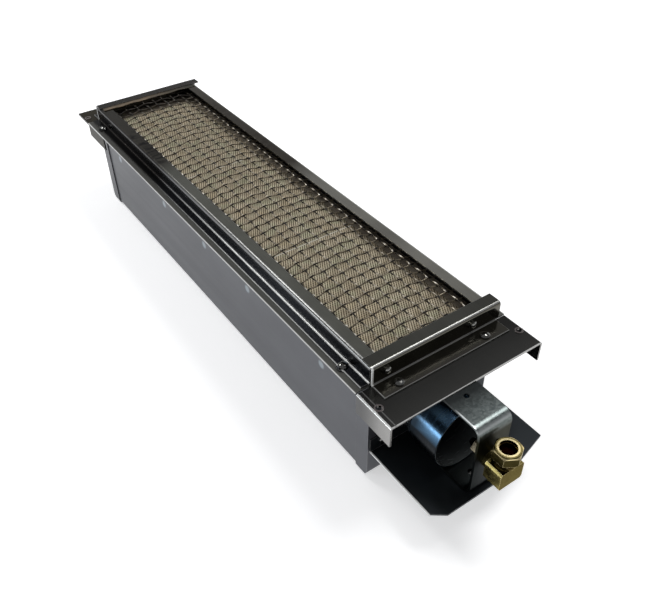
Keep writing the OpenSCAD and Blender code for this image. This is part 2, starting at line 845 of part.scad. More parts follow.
// Domed rivets in the uprights of both clamps
module clamp_rivets() {
    color("#b4b5b5") at_origin() for (s = [-1, 1]) {
        x = s * clamp_rivet_x + clamp_rivet_shift;
        translate([x, 0, clamp_rivet_z]) rotate([90, 0, 0]) rivet(sheet);
        translate([x, box_len, clamp_rivet_z]) rotate([-90, 0, 0]) rivet(sheet);
    }
}

burner_box();
front_cap();
rear_cap();
tile_tray();
tile_gasket();
ceramic_tile(0);  // tile_1
ceramic_tile(1);  // tile_2
ceramic_tile(2);  // tile_3
joint_strips();
wire_screen();
left_rail();
right_rail();
front_clamp();
rear_clamp();
front_plate();
rear_plate();
baffle_plate();
venturi_tube();
tube_collar();
tube_saddle();
saddle_rivets();
air_shelf();
shelf_screws();
shelf_nuts();
orifice_bracket();
bracket_rivets();
elbow_body();
lock_nut();
orifice_spud();
ferrule();
inlet_nut();
rail_screws();
rail_nuts();
front_clamp_screws();
rear_clamp_screws();
clamp_nuts();
clamp_rivets();
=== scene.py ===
# %% [markdown]
# # Dressing a ceramic infrared burner
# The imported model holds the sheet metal, the tiles and the fittings at their real places.
# This lesson gives each of them its finish: mill steel, dark stainless, pierced ceramic,
# zinc, blued tube and old brass. New surfaces are made in two places, the woven wire screen
# and a thin strip at its far end. Everything is in metres, with +Z up and +Y running away
# from the gas inlet.

# %% Load the frame
from functools import reduce
from math import cos, pi, radians, sin

import bpy
import numpy as np
from mathutils import Matrix, Vector


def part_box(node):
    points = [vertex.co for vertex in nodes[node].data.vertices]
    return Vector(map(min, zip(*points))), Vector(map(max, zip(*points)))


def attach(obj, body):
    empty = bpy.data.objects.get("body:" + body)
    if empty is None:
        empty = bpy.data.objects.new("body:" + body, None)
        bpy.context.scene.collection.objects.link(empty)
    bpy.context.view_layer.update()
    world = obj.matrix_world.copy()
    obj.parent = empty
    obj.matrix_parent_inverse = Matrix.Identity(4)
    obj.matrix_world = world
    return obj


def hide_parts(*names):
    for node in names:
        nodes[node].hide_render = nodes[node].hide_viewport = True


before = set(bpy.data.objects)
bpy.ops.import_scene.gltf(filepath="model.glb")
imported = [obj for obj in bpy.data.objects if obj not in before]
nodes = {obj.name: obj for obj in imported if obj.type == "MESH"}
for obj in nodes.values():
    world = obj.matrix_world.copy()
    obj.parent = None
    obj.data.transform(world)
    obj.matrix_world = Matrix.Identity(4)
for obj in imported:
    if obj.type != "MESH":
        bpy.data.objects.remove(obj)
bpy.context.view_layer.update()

# %% [markdown]
# The camera comes first, so that every later choice can be judged through it. The straight
# edges of the burner in the photograph give its place: about 0.5 m above the floor, in front
# and to the left, looking 40 degrees down. A camera is a matrix of three axes and a place.
# The angles are yaw, pitch and roll in degrees.

# %% Camera
def aim(place, yaw, pitch, roll):
    """Matrix of a camera at place. Yaw turns from +Y towards +X, pitch tilts up, roll leans."""
    ahead = Vector((sin(yaw) * cos(pitch), cos(yaw) * cos(pitch), sin(pitch)))
    level = ahead.cross(Vector((0, 0, 1))).normalized()
    top = level.cross(ahead)
    side = level * cos(roll) + top * sin(roll)
    top = top * cos(roll) - level * sin(roll)
    turn = Matrix((side, top, -ahead)).transposed().to_4x4()
    return Matrix.Translation(place) @ turn


camera_place = (-0.28755, -0.50511, 0.49038)
camera_angles = (33.996, -40.361, -1.1)
focal_mm = 40.568

lens = bpy.data.cameras.new("camera")
lens.sensor_fit = "HORIZONTAL"
lens.sensor_width = 36
lens.lens = focal_mm
lens.clip_start = 0.01
camera = bpy.data.objects.new("camera", lens)
camera.matrix_world = aim(camera_place, *(radians(angle) for angle in camera_angles))
scene = bpy.context.scene
scene.collection.objects.link(camera)
scene.camera = camera
scene.view_settings.view_transform = "Standard"
print("camera at", camera_place, "with a lens of", focal_mm, "mm")

# %% [markdown]
# ## Tools for finishes
# A finish is a small network of nodes round one Principled shader. Numbers that are the same
# all over are set on the shader's own sockets, and only what varies is linked. These helpers
# keep each network short. All patterns read Object coordinates, so their sizes are in metres.

# %% Node helpers
class Finish:
    """One material: its shader, and calls that each add a node and give back its output."""

    def __init__(self, name, color, metallic, roughness, **sockets):
        self.material = bpy.data.materials.new(name)
        self.material.use_nodes = True
        self.tree = self.material.node_tree
        self.shader = self.tree.nodes["Principled BSDF"]
        self.place = self.tree.nodes.new("ShaderNodeTexCoord").outputs["Object"]
        self.set("Base Color", (*color, 1))
        self.set("Metallic", metallic)
        self.set("Roughness", roughness)
        for socket, value in sockets.items():
            self.set(socket.replace("_", " "), value)

    def set(self, socket, value):
        self.shader.inputs[socket].default_value = value

    def add(self, kind, **settings):
        """A node of that kind. Plain settings go on the node, and inputs= on its sockets."""
        node = self.tree.nodes.new("ShaderNode" + kind)
        inputs = settings.pop("inputs", {})
        for key, value in settings.items():
            setattr(node, key, value)
        for key, value in inputs.items():
            if isinstance(value, bpy.types.NodeSocket):
                self.tree.links.new(value, node.inputs[key])
            else:
                node.inputs[key].default_value = value
        return node

    def math(self, operation, a, b=0.0, c=0.0):
        return self.add("Math", operation=operation, inputs={0: a, 1: b, 2: c}).outputs[0]

    def axes(self):
        """The x, y and z of Object coordinates as three numbers."""
        return self.add("SeparateXYZ", inputs={0: self.place}).outputs

    def stretch(self, x, y, z):
        """Object coordinates times x, y and z: a large number makes a pattern fine that way."""
        return self.add("Mapping", inputs={"Vector": self.place, "Scale": (x, y, z)}).outputs[0]

    def noise(self, scale, detail=3.0, where=None, roughness=0.55):
        where = where or self.place
        values = {"Vector": where, "Scale": scale, "Detail": detail, "Roughness": roughness}
        return self.add("TexNoise", inputs=values).outputs["Fac"]

    def band(self, value, low, high, out_low=0.0, out_high=1.0):
        """Carries value from low..high to out_low..out_high, held at both ends."""
        numbers = {"Value": value, 1: low, 2: high, 3: out_low, 4: out_high}
        return self.add("MapRange", inputs=numbers).outputs[0]

    def spot(self, x, y, z, radius, soft, shape=(1, 1, 1)):
        """1 within radius of a point, fading to 0 over soft. Shape flattens the distance."""
        gap = self.add("VectorMath", operation="SUBTRACT", inputs={0: self.place, 1: (x, y, z)})
        flat = self.add("VectorMath", operation="MULTIPLY", inputs={0: gap.outputs[0], 1: shape})
        far = self.add("VectorMath", operation="LENGTH", inputs={0: flat.outputs[0]})
        return self.near(far.outputs["Value"], radius, soft)

    def near(self, distance, reach, soft):
        """1 where a distance is below reach, fading to 0 over soft."""
        return self.band(distance, reach, reach + soft, 1.0, 0.0)

    def ring(self, axis, centre):
        """Distance from a straight line through centre that runs along axis 0, 1 or 2."""
        gap = self.add("VectorMath", operation="SUBTRACT", inputs={0: self.place, 1: centre})
        keep = [1.0, 1.0, 1.0]
        keep[axis] = 0.0
        flat = self.add("VectorMath", operation="MULTIPLY", inputs={0: gap.outputs[0], 1: keep})
        far = self.add("VectorMath", operation="LENGTH", inputs={0: flat.outputs[0]})
        return far.outputs["Value"]

    def facing(self):
        """The x, y and z of the surface's own direction."""
        normal = self.add("NewGeometry").outputs["Normal"]
        return self.add("SeparateXYZ", inputs={0: normal}).outputs

    def mix(self, factor, a, b, blend="MIX"):
        """Mixes two colours; each is a socket or three numbers."""
        node = self.add("Mix", data_type="RGBA", blend_type=blend)
        for slot, value in ((0, factor), (6, a), (7, b)):
            if isinstance(value, bpy.types.NodeSocket):
                self.tree.links.new(value, node.inputs[slot])
            else:
                node.inputs[slot].default_value = value if slot == 0 else (*value, 1)
        return node.outputs[2]

    def edges(self, radius, soft=0.25):
        """1 on sharp edges: the Bevel node rounds the normal there, so it leaves the true one."""
        round_normal = self.add("Bevel", samples=6, inputs={"Radius": radius}).outputs[0]
        true_normal = self.add("NewGeometry").outputs["Normal"]
        pair = {0: round_normal, 1: true_normal}
        agree = self.add("VectorMath", operation="DOT_PRODUCT", inputs=pair).outputs["Value"]
        return self.band(agree, 1.0 - soft, 0.995, 1.0, 0.0)

    def streak(self, width, soft=0.0003, **lines):
        """1 near a straight line, given by its place on two axes, such as x=0.1, z=0.2."""
        far = 0.0
        for axis, place in lines.items():
            gap = self.math("SUBTRACT", self.axes()["xyz".index(axis)], place)
            far = self.math("MAXIMUM", far, self.math("ABSOLUTE", gap))
        return self.near(far, width, soft)

    def any_of(self, *masks):
        """The largest of several masks: 1 where any of them is 1."""
        return reduce(lambda a, b: self.math("MAXIMUM", a, b), masks)

    def all_of(self, *masks):
        """The product of several masks: 1 only where all of them are 1."""
        return reduce(lambda a, b: self.math("MULTIPLY", a, b), masks)

    def even(self, value):
        """One number as the red, green and blue of a colour."""
        return self.add("CombineColor", inputs={0: value, 1: value, 2: value}).outputs[0]

    def link(self, output, socket):
        self.tree.links.new(output, self.shader.inputs[socket])

    def bump(self, height, strength, distance):
        values = {"Height": height, "Strength": strength, "Distance": distance}
        self.link(self.add("Bump", inputs=values).outputs[0], "Normal")


def dress(finish, *names):
    """Puts a finish in the material slots of CAD nodes."""
    for name in names:
        for place in nodes[name].material_slots:
            place.material = finish.material
    print(finish.material.name, "on", len(names), "nodes")


# %% [markdown]
# ## Sheet steel of the box
# The trough is dull mill steel: lilac grey, slightly cloudy, darker towards the far end, with
# a paler spot where each spot weld joins the inner tray to the wall. The welds are points at
# measured places, so a distance to each point paints them, and the same mask dents the surface
# a little. The rim's cut edge and the other sharp edges are painted bright: painted highlights
# that are partly wear. A dark seam shows where each end cap stops.

# %% Box steel
box_low, box_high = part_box("burner_box")
rim_width = 0.013  # from the rim's edge to the wall
weld_steps = (0.0624, 0.1794, 0.2624, 0.3519, 0.4684)
weld_z = box_high.z - 0.0295

box_steel = Finish("box_steel", (0.12, 0.125, 0.135), 0.75, 0.42)
x, y, z = box_steel.axes()
cloud = box_steel.noise(9, 4, box_steel.stretch(1, 0.5, 1))
grain = box_steel.noise(60, 3, box_steel.stretch(1, 0.06, 1.6))
marks = box_steel.any_of(*(
    box_steel.spot(wall_x, box_low.y + step, weld_z, 0.0024, 0.0022)
    for wall_x in (box_low.x + rim_width, box_high.x - rim_width) for step in weld_steps))
cloudy = box_steel.band(cloud, 0.3, 0.7)
tone = box_steel.mix(cloudy, (0.084, 0.087, 0.097), (0.118, 0.122, 0.134))
tone = box_steel.mix(box_steel.band(grain, 0.35, 0.75, 0.0, 0.10), tone, (0.18, 0.183, 0.19))
aged = box_steel.band(y, box_low.y, box_high.y, 0.0, 0.45)
tone = box_steel.mix(aged, tone, (0.042, 0.042, 0.042))
tone = box_steel.mix(box_steel.all_of(marks, 0.45), tone, (0.46, 0.53, 0.57))
cap_edges = (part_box("front_cap")[1].y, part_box("rear_cap")[0].y)
seam = box_steel.any_of(*(box_steel.streak(0.0003, 0.0005, y=edge) for edge in cap_edges))
below_rim = box_steel.band(z, box_high.z - 0.006, box_high.z - 0.004, 0.8, 0.0)
tone = box_steel.mix(box_steel.all_of(seam, below_rim), tone, (0.020, 0.020, 0.024))
# painted highlights on sharp edges, partly wear
tone = box_steel.mix(box_steel.edges(0.0008), tone, (0.30, 0.30, 0.31))
on_rim = box_steel.band(z, box_high.z - 0.0004, box_high.z - 0.0001)
tone = box_steel.mix(on_rim, tone, (0.10, 0.10, 0.09))
# painted highlight along the rim's cut edge
rim = box_steel.any_of(*(box_steel.streak(0.0004, 0.0005, x=rim_x, z=box_high.z)
                         for rim_x in (box_low.x, box_high.x)))
tone = box_steel.mix(rim, tone, (0.62, 0.62, 0.60))
box_steel.link(box_steel.band(rim, 0.0, 1.0, 0.75, 0.2), "Metallic")
box_steel.link(tone, "Base Color")
box_steel.link(box_steel.band(grain, 0.3, 0.7, 0.40, 0.46), "Roughness")
dents = box_steel.math("SUBTRACT", box_steel.all_of(cloud, 0.6), marks)
box_steel.bump(dents, 0.25, 0.0006)
dress(box_steel, "burner_box", "front_cap", "rear_cap", "tube_collar", "tube_saddle")

# %% [markdown]
# ## Dark stainless of the frame and the plates
# Rails, clamps and hanger plates are smooth dark stainless. A dark metal tells its shape by
# its bright folds and cut edges, so those matter more here than the grain. The Bevel mask
# finds every edge, and the folds that catch the light are drawn as lines at measured places.
# These bright edges and lines are painted highlights, and the edges are partly wear as well.
# Each sheet also gets one tone on its top face and another on its sides, which is painted
# light and shade. A line also lowers Metallic, so that it shows even where the metal mirrors
# something dark.

# %% Dark stainless
def on_right(node):
    """True for a node on the right of the burner."""
    low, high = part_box(node)
    return low.x + high.x > 0


def dark_sheet(node, top, side, roughness, lines=(), edge=0.30, soot=None, scratched=(),
               metal=1.0, grained=1.0, face_z=None, soot_tint=(0.25, 0.23, 0.21), fade=None):
    """Dark metal for one node: one tone on its top face at face_z and one on its sides, which is
    painted light and shade on one sheet, grain along y, and bright edges, which are painted
    highlights and partly wear. Each line is a painted highlight, given as (half width, grey, its
    places on two axes), and fade dulls them all between two values of y. Scratched lists the
    middles of rubbed spots on the top face; on the right of the burner they are pale, a painted
    reflection on wear. Soot gives two values of y, past which every tone is multiplied by
    soot_tint."""
    finish = Finish(node + "_steel", side, metal, roughness)
    face_z = face_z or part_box(node)[1].z
    x, y, z = finish.axes()
    grain = finish.noise(160, 4, finish.stretch(4, 0.1, 4))
    stain = finish.noise(17, 4)
    on_top = finish.band(z, face_z - 0.0010, face_z - 0.0003)
    # the same sheet gets one tone on its top face and another on its sides: painted light and
    # shade
    tone = finish.mix(on_top, side, top)
    shade = finish.band(stain, 0.35, 0.65, 0.85, 1.15)
    fine = 0.04 * grained
    shade = finish.all_of(shade, finish.band(grain, 0.3, 0.7, 1 - fine, 1 + fine))
    tone = finish.mix(1.0, tone, finish.even(shade), "MULTIPLY")
    # the rubbed strokes are wear; the pale ones on the right of the burner are also a painted
    # reflection
    rubbed = (0.36, 0.34, 0.29) if on_right(node) else (0.035, 0.030, 0.030)
    strokes = finish.band(finish.noise(260, 1, finish.stretch(0.25, 1, 1)), 0.48, 0.56)
    for place in scratched:
        rub = finish.all_of(finish.spot(*place, 0.010, 0.014, (1, 0.8, 1)), strokes, on_top)
        tone = finish.mix(rub, tone, rubbed)
    # bright edges: painted highlights, partly wear
    shine = finish.edges(0.0005, 0.2)
    tone = finish.mix(shine, tone, (edge, edge, 0.97 * edge))
    # each line is a painted highlight along a fold or a cut edge
    for width, value, places in lines:
        line = finish.streak(width, 0.0005, **places)
        if fade:
            line = finish.all_of(line, finish.band(y, *fade, 1.0, 0.3))
        tone = finish.mix(line, tone, (value, value, 0.97 * value))
        shine = finish.any_of(shine, line)
    eyelet = finish.band(z, face_z + 0.0001, face_z + 0.0003)
    tone = finish.mix(eyelet, tone, (0.34, 0.30, 0.29))
    if soot:
        reach = 0.6 * (soot[1] - soot[0])
        wander = finish.math("ADD", y, finish.band(stain, 0.3, 0.7, -reach, reach))
        tone = finish.mix(finish.band(wander, *soot), tone, soot_tint, "MULTIPLY")
    finish.link(tone, "Base Color")
    finish.link(finish.band(shine, 0.0, 1.0, metal, 0.2), "Metallic")
    spread = 0.03 * grained
    rough = finish.band(grain, 0.3, 0.7, roughness - spread, roughness + spread)
    finish.link(rough, "Roughness")
    finish.bump(grain, 0.03 * grained, 0.0001)
    dress(finish, node)
    return finish


# %% [markdown]
# A rail is an upright with a flange on top and a foot below. Its bright lines are painted
# highlights and are, from the top: the cut edge of the flange, the bend at the top of the
# upright, the bend of the foot and the foot's cut edge. A clamp gets the same painted
# highlights at its bends across the burner, and its left end gets a bright painted highlight.

# %% Rails and clamps
sheet = 0.0012
rim_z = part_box("burner_box")[1].z
foot_z = rim_z + sheet
upright_x = 0.0600
foot_x = 0.0680
scratch_x = 0.054
for node, out in (("left_rail", -1), ("right_rail", 1)):
    top_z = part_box(node)[1].z
    # painted highlights along the rail's folds and cut edges
    folds = [(0.0003, 0.30, dict(x=out * (upright_x - 0.0020), z=top_z - 0.0003)),
             (0.0008, 0.13, dict(x=out * (upright_x - 0.0004), z=top_z - 0.0018)),
             (0.0005, 0.95, dict(x=out * (upright_x + 0.0004), z=foot_z)),
             (0.0004, 0.60, dict(x=out * foot_x, z=foot_z))]
    if on_right(node):
        top, soot, spots_y = (0.48, 0.47, 0.41), (0.015, 0.05), (0.108, 0.200)
    else:
        top, soot, spots_y = (0.30, 0.305, 0.262), (0.09, 0.14), (0.150, 0.185)
    spots = [(out * scratch_x, y, top_z) for y in spots_y]
    dark_sheet(node, top, (0.046, 0.050, 0.056), 0.20, folds, scratched=spots, soot=soot,
               grained=0.6, fade=(-0.02, 0.11))

clamp_tones = {"front_clamp": ((0.17, 0.17, 0.148), (0.110, 0.105, 0.088)),
               "rear_clamp": ((0.060, 0.055, 0.045), (0.052, 0.050, 0.045))}
clamp_foot = 0.015
for node, out in (("front_clamp", -1), ("rear_clamp", 1)):
    low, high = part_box(node)
    toe = low.y if out < 0 else high.y
    face = toe - out * clamp_foot
    foot = low.z + sheet
    # painted highlights along the clamp's bends and edges, brightest along its left end
    folds = [(0.0004, 0.20, dict(y=face + out * 0.0003, z=foot + 0.0004)),
             (0.0003, 0.22, dict(y=toe, z=foot)), (0.0003, 0.26, dict(x=low.x, z=foot)),
             (0.0004, 0.26, dict(y=face - out * 0.0015, z=high.z - 0.0004)),
             (0.0011, 0.75, dict(x=low.x, y=face - out * 0.0006))]
    dark_sheet(node, *clamp_tones[node], 0.16, folds, grained=0.5)

# %% [markdown]
# The top face of a hanger plate is a little under the highest point of its node, because a
# raised eyelet stands round each hole. The face height is given, so that the eyelets get a
# tone of their own.

# %% Hanger plates, shelf and tray
low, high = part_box("front_plate")
# painted highlights along the plate's folds and edges; the pale side tone makes the lips look lit,
# a painted light
folds = [(0.0009, 0.72, dict(x=low.x + 0.0004, z=rim_z)),
         (0.0004, 0.25, dict(x=high.x, z=rim_z)), (0.0004, 0.60, dict(y=low.y, z=rim_z)),
         (0.0002, 0.16, dict(x=low.x + 0.0048, z=rim_z))]
plate = dark_sheet("front_plate", (0.078, 0.078, 0.073), (0.30, 0.295, 0.285), 0.24, folds,
                   grained=0.15, face_z=rim_z, soot=(low.y + 0.004, high.y - 0.004),
                   soot_tint=(0.60, 0.60, 0.60))
# the lips of the plate are painted darker away from their front end, a painted shade, so they are
# brighter in front than near the box
x, y, z = plate.axes()
inner = plate.all_of(plate.band(y, low.y + 0.012, high.y - 0.006),
                     plate.band(z, rim_z - 0.0024, rim_z - 0.0012, 1.0, 0.0))
tone = plate.shader.inputs["Base Color"].links[0].from_socket
plate.link(plate.mix(inner, tone, (0.085, 0.085, 0.085)), "Base Color")

low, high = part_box("rear_plate")
plate_z = high.z - 0.0006
# a painted highlight along the rear plate's left edge
folds = [(0.0004, 0.10, dict(x=low.x, z=plate_z))]
hanger = dark_sheet("rear_plate", (0.062, 0.057, 0.044), (0.030, 0.030, 0.028), 0.24, folds,
                    edge=0.12, metal=0.7, grained=0.3, face_z=plate_z)
hanger.set("Specular Tint", (0.45, 0.44, 0.42, 1))

low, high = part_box("air_shelf")
# a painted highlight along the shelf's lower left edge
folds = [(0.0007, 0.85, dict(x=low.x, z=low.z + 0.0010))]
shelf = dark_sheet("air_shelf", (0.030, 0.035, 0.038), (0.024, 0.028, 0.031), 0.30, folds,
                   metal=0.6, grained=0.15)
shelf.set("Specular Tint", (0.55, 0.57, 0.60, 1))

tray_steel = Finish("tray_steel", (0.16, 0.13, 0.10), 0.4, 0.55)
scale = tray_steel.noise(90, 4)
scaled = tray_steel.band(scale, 0.35, 0.7)
tray_steel.link(tray_steel.mix(scaled, (0.22, 0.18, 0.14), (0.48, 0.42, 0.33)), "Base Color")
tray_steel.bump(scale, 0.2, 0.0004)
dress(tray_steel, "tile_tray", "baffle_plate")

# %% [markdown]
# ## Ceramic tiles
# Each tile is pierced by thousands of fine holes in staggered rows, so that the gas burns on
# its face. A hole for each would be millions of faces. Three cosine waves, 60 degrees apart,
# add up to a honeycomb of dips at the same pitch, and a threshold turns the dips into holes
# that are painted dark, a painted shade for the inside of each hole. One wave weighs more than
# the others, which draws the holes out into slanted rows. The right edge of the tiles is also
# painted darker, a painted shade.

# %% Perforated ceramic
hole_pitch = 0.00226
wave_weights = {pi / 2: 0.65, pi / 6: 0.65, -pi / 6: 1.7}


def honeycomb(finish, pitch):
    """Weighted sum of cos(2 pi d / (pitch sin 60)), d the distance along each wave's angle."""
    x, y, z = finish.axes()
    turns = 2 * pi / (pitch * sin(pi / 3))
    waves = []
    for angle, weight in wave_weights.items():
        along = finish.math("ADD", finish.math("MULTIPLY", x, turns * cos(angle)),
                            finish.math("MULTIPLY", y, turns * sin(angle)))
        waves.append(finish.math("MULTIPLY", finish.math("COSINE", along), weight))
    return reduce(lambda a, b: finish.math("ADD", a, b), waves)


ceramic = Finish("ceramic", (0.50, 0.46, 0.35), 0.0, 0.9, Specular_IOR_Level=0.15)
holes = ceramic.band(honeycomb(ceramic, hole_pitch), -0.6, 0.9)
patch = ceramic.noise(85, 2, ceramic.stretch(1, 1, 0.1))
tint = ceramic.noise(70, 1, ceramic.stretch(1, 1, 0.1))
patchy = ceramic.band(patch, 0.35, 0.65)
tone = ceramic.mix(patchy, (0.535, 0.457, 0.322), (0.70, 0.615, 0.460))
tone = ceramic.mix(ceramic.band(tint, 0.50, 0.65, 0.0, 0.45), tone, (0.52, 0.56, 0.38))
tone = ceramic.mix(ceramic.band(tint, 0.42, 0.32, 0.0, 0.4), tone, (0.62, 0.51, 0.33))
# painted shade along the right edge of the tiles
wander = ceramic.band(patch, 0.3, 0.7, -0.004, 0.004)
right_edge_shade = ceramic.math("ADD", ceramic.axes()[0], wander)
right_edge_shade = ceramic.band(right_edge_shade, 0.036, 0.045, 0.0, 0.55)
tone = ceramic.mix(right_edge_shade, tone, (0.16, 0.12, 0.09))
# the holes are painted dark: painted shade for the inside of each hole
tone = ceramic.mix(holes, tone, (0.10, 0.080, 0.048))
ceramic.link(tone, "Base Color")
ceramic.bump(ceramic.math("MULTIPLY", holes, -1.0), 0.6, 0.0006)
dress(ceramic, "tile_1", "tile_2", "tile_3")

cement = Finish("cement", (0.42, 0.40, 0.33), 0.0, 0.95)
grit = cement.noise(420, 4)
cement.link(cement.mix(grit, (0.55, 0.52, 0.43), (0.75, 0.72, 0.62)), "Base Color")
cement.bump(grit, 0.5, 0.0005)
dress(cement, "joint_strips")

fibre = Finish("fibre", (0.72, 0.70, 0.64), 0.0, 1.0)
fluff = fibre.noise(300, 5, fibre.stretch(1, 0.2, 1))
fibre.link(fibre.mix(fluff, (0.60, 0.58, 0.52), (0.80, 0.78, 0.73)), "Base Color")
fibre.bump(fluff, 0.6, 0.0005)
dress(fibre, "tile_gasket")

# %% [markdown]
# ## Zinc, tube, brass and fasteners
# The strap bracket is zinc plated and shows a faint spangle, which is a pattern of cells. Its
# face is painted dark and made duller below the bend, and its back is painted dark under the
# plate: painted shade. Its bend and the front of its left cut edge get painted highlights. The
# tube has a blue passivated skin; its underside and its end towards the box are painted dark,
# a painted shade, and that end is duller, so it shines only near the bell. The brass is aged
# and olive, and its faces that look towards -x or upwards are painted brighter: painted light.
# Specular Tint takes down the pale gloss that a dull surface would otherwise show at a flat
# angle.

# %% Zinc
zinc = Finish("zinc", (0.30, 0.34, 0.33), 0.9, 0.30)
x, y, z = zinc.axes()
cells = zinc.add("TexVoronoi", inputs={"Vector": zinc.place, "Scale": 650.0}).outputs["Color"]
spangle = zinc.add("SeparateColor", inputs={0: cells}).outputs[0]
wash = zinc.noise(60, 1)
spangled = zinc.band(spangle, 0.0, 1.0)
tone = zinc.mix(spangled, (0.12, 0.142, 0.140), (0.215, 0.245, 0.240))
tone = zinc.mix(zinc.band(wash, 0.3, 0.7, 0.0, 0.3), tone, (0.13, 0.145, 0.135))
strap_low, strap_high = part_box("orifice_bracket")
# painted shade: the face is painted dark below the bend and darker still lower down, and the back
# is painted dark under the plate
face_shade = zinc.band(z, strap_high.z - 0.011, strap_high.z - 0.0035, 1.0, 0.0)
tone = zinc.mix(face_shade, tone, (0.026, 0.026, 0.014))
low_face_shade = zinc.band(z, strap_high.z - 0.032, strap_high.z - 0.018, 1.0, 0.0)
tone = zinc.mix(low_face_shade, tone, (0.012, 0.015, 0.015))
under_plate_shade = zinc.band(y, strap_low.y + 0.008, strap_low.y + 0.032, 0.0, 1.0)
tone = zinc.mix(under_plate_shade, tone, (0.030, 0.034, 0.034))
# painted highlights along the bend and the front of the left cut edge
bend = zinc.streak(0.0012, 0.0016, y=strap_low.y + 0.0014, z=strap_high.z - 0.0014)
cut = zinc.all_of(zinc.streak(0.0006, x=strap_low.x, z=strap_high.z),
                  zinc.band(y, strap_low.y + 0.026, strap_low.y + 0.018))
tone = zinc.mix(zinc.any_of(zinc.all_of(bend, 0.45), cut), tone, (0.80, 0.84, 0.84))
zinc.link(tone, "Base Color")
dull = zinc.even(zinc.band(x, strap_low.x + 0.002, strap_low.x + 0.013, 0.48, 0.62))
gloss = zinc.mix(zinc.any_of(face_shade, low_face_shade), (1.0, 1.0, 1.0), dull)
zinc.link(gloss, "Specular Tint")
zinc.link(zinc.band(spangle, 0.0, 1.0, 0.28, 0.33), "Roughness")
dress(zinc, "orifice_bracket")

# %% [markdown]
# The bell's inside is told from its outside by the distance from the tube's axis.

# %% Tube
tube_low, tube_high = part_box("venturi_tube")
tube_axis = (tube_low + tube_high) / 2
bell_r = (tube_high.x - tube_low.x) / 2
tube_steel = Finish("tube_steel", (0.08, 0.12, 0.17), 1.0, 0.24)
x, y, z = tube_steel.axes()
rings = tube_steel.noise(90, 3, tube_steel.stretch(1, 4, 1))
haze = tube_steel.noise(25, 3)
hazy = tube_steel.band(haze, 0.3, 0.7)
tone = tube_steel.mix(hazy, (0.055, 0.115, 0.19), (0.085, 0.165, 0.26))
inside = tube_steel.ring(1, tube_axis)
inside = tube_steel.band(inside, bell_r - 0.0008, bell_r - 0.0003, 1.0, 0.0)
tone = tube_steel.mix(inside, tone, (0.10, 0.11, 0.11))
tube_steel.link(tube_steel.band(inside, 0.0, 1.0, 1.0, 0.3), "Metallic")
# painted shade: the underside and the end towards the box are painted nearly black, and that end
# is duller
underside_shade = tube_steel.band(z, tube_axis.z + 0.0055, tube_axis.z + 0.0125, 1.0, 0.0)
underside_shade = tube_steel.all_of(underside_shade, tube_steel.math("SUBTRACT", 1.0, inside))
rear_shade = tube_steel.band(y, tube_low.y + 0.007, tube_low.y + 0.024, 0.0, 0.9)
tone = tube_steel.mix(tube_steel.any_of(underside_shade, rear_shade), tone, (0.012, 0.015, 0.018))
tube_steel.link(tone, "Base Color")
gloss = tube_steel.mix(rear_shade, (1.0, 1.0, 1.0), (0.5, 0.52, 0.55))
tube_steel.link(gloss, "Specular Tint")
tube_steel.link(tube_steel.band(rings, 0.3, 0.7, 0.18, 0.30), "Roughness")
tube_steel.bump(rings, 0.08, 0.0002)
dress(tube_steel, "venturi_tube")

# %% [markdown]
# The inlet nut gets painted highlights on the crown round its bore and on its corners. The
# neck under it is painted nearly black, a painted shade, the bore is maroon with heat, and
# the spud behind the strap is dull.

# %% Brass
nut_low, nut_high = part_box("inlet_nut")
nut_axis = (nut_low + nut_high) / 2
neck_r = 0.0084
crown_r = 0.0080
bore_r = 0.0064

brass = Finish("brass", (0.30, 0.24, 0.08), 1.0, 0.24)
brass.set("Specular Tint", (0.85, 0.76, 0.55, 1))
x, y, z = brass.axes()
radius = brass.ring(2, nut_axis)
age = brass.noise(120, 4)
aged = brass.band(age, 0.35, 0.65)
tone = brass.mix(aged, (0.050, 0.042, 0.016), (0.125, 0.105, 0.040))
# painted light: faces towards -x and faces that look up are painted brighter, and the nut's sides
# dimmer
facing = brass.facing()
facing_light = brass.band(facing[0], -0.9, -0.2, 2.2, 0.55)
nut_side = brass.all_of(brass.band(z, nut_low.z - 0.0005, nut_low.z),
                        brass.band(facing[2], 0.2, 0.5, 1.0, 0.0))
facing_light = brass.all_of(facing_light, brass.band(nut_side, 0.0, 1.0, 1.0, 0.20))
tone = brass.mix(1.0, tone, brass.even(facing_light), "MULTIPLY")
upward = brass.band(facing[2], 0.3, 0.9, 0.0, 0.8)
tone = brass.mix(upward, tone, (0.21, 0.17, 0.055))
# painted shade: the neck under the nut is painted nearly black
neck = brass.all_of(brass.band(z, nut_low.z - 0.0005, nut_low.z, 1.0, 0.0),
                    brass.near(radius, neck_r - 0.0002, 0.0004),
                    brass.band(z, nut_low.z - 0.007, nut_low.z - 0.003))
tone = brass.mix(neck, tone, (0.008, 0.003, 0.002))
# painted highlights on the crown round the bore, on the corners and on the sharp edges
crown = brass.all_of(brass.band(z, nut_high.z - 0.0003, nut_high.z - 0.0001),
                     brass.band(radius, crown_r - 0.0002, crown_r + 0.0003, 0.85, 0.0))
corner = brass.all_of(brass.streak(0.0003, 0.0004, z=nut_high.z - 0.0012),
                      brass.band(radius, 0.0090, 0.0094, 0.0, 0.8))
shine = brass.any_of(brass.all_of(brass.edges(0.0005, 0.2), 0.9), crown, corner)
tone = brass.mix(shine, tone, (0.92, 0.78, 0.44))
bore = brass.all_of(brass.near(radius, bore_r - 0.0001, 0.0003),
                    brass.band(z, nut_low.z - 0.0065, nut_low.z - 0.0060))
tone = brass.mix(bore, tone, (0.16, 0.045, 0.035))
behind_strap = brass.band(y, strap_low.y + 0.003, strap_low.y + 0.005)
tone = brass.mix(behind_strap, tone, (0.065, 0.055, 0.038))
brass.link(tone, "Base Color")
brass.link(brass.band(age, 0.3, 0.7, 0.20, 0.34), "Roughness")
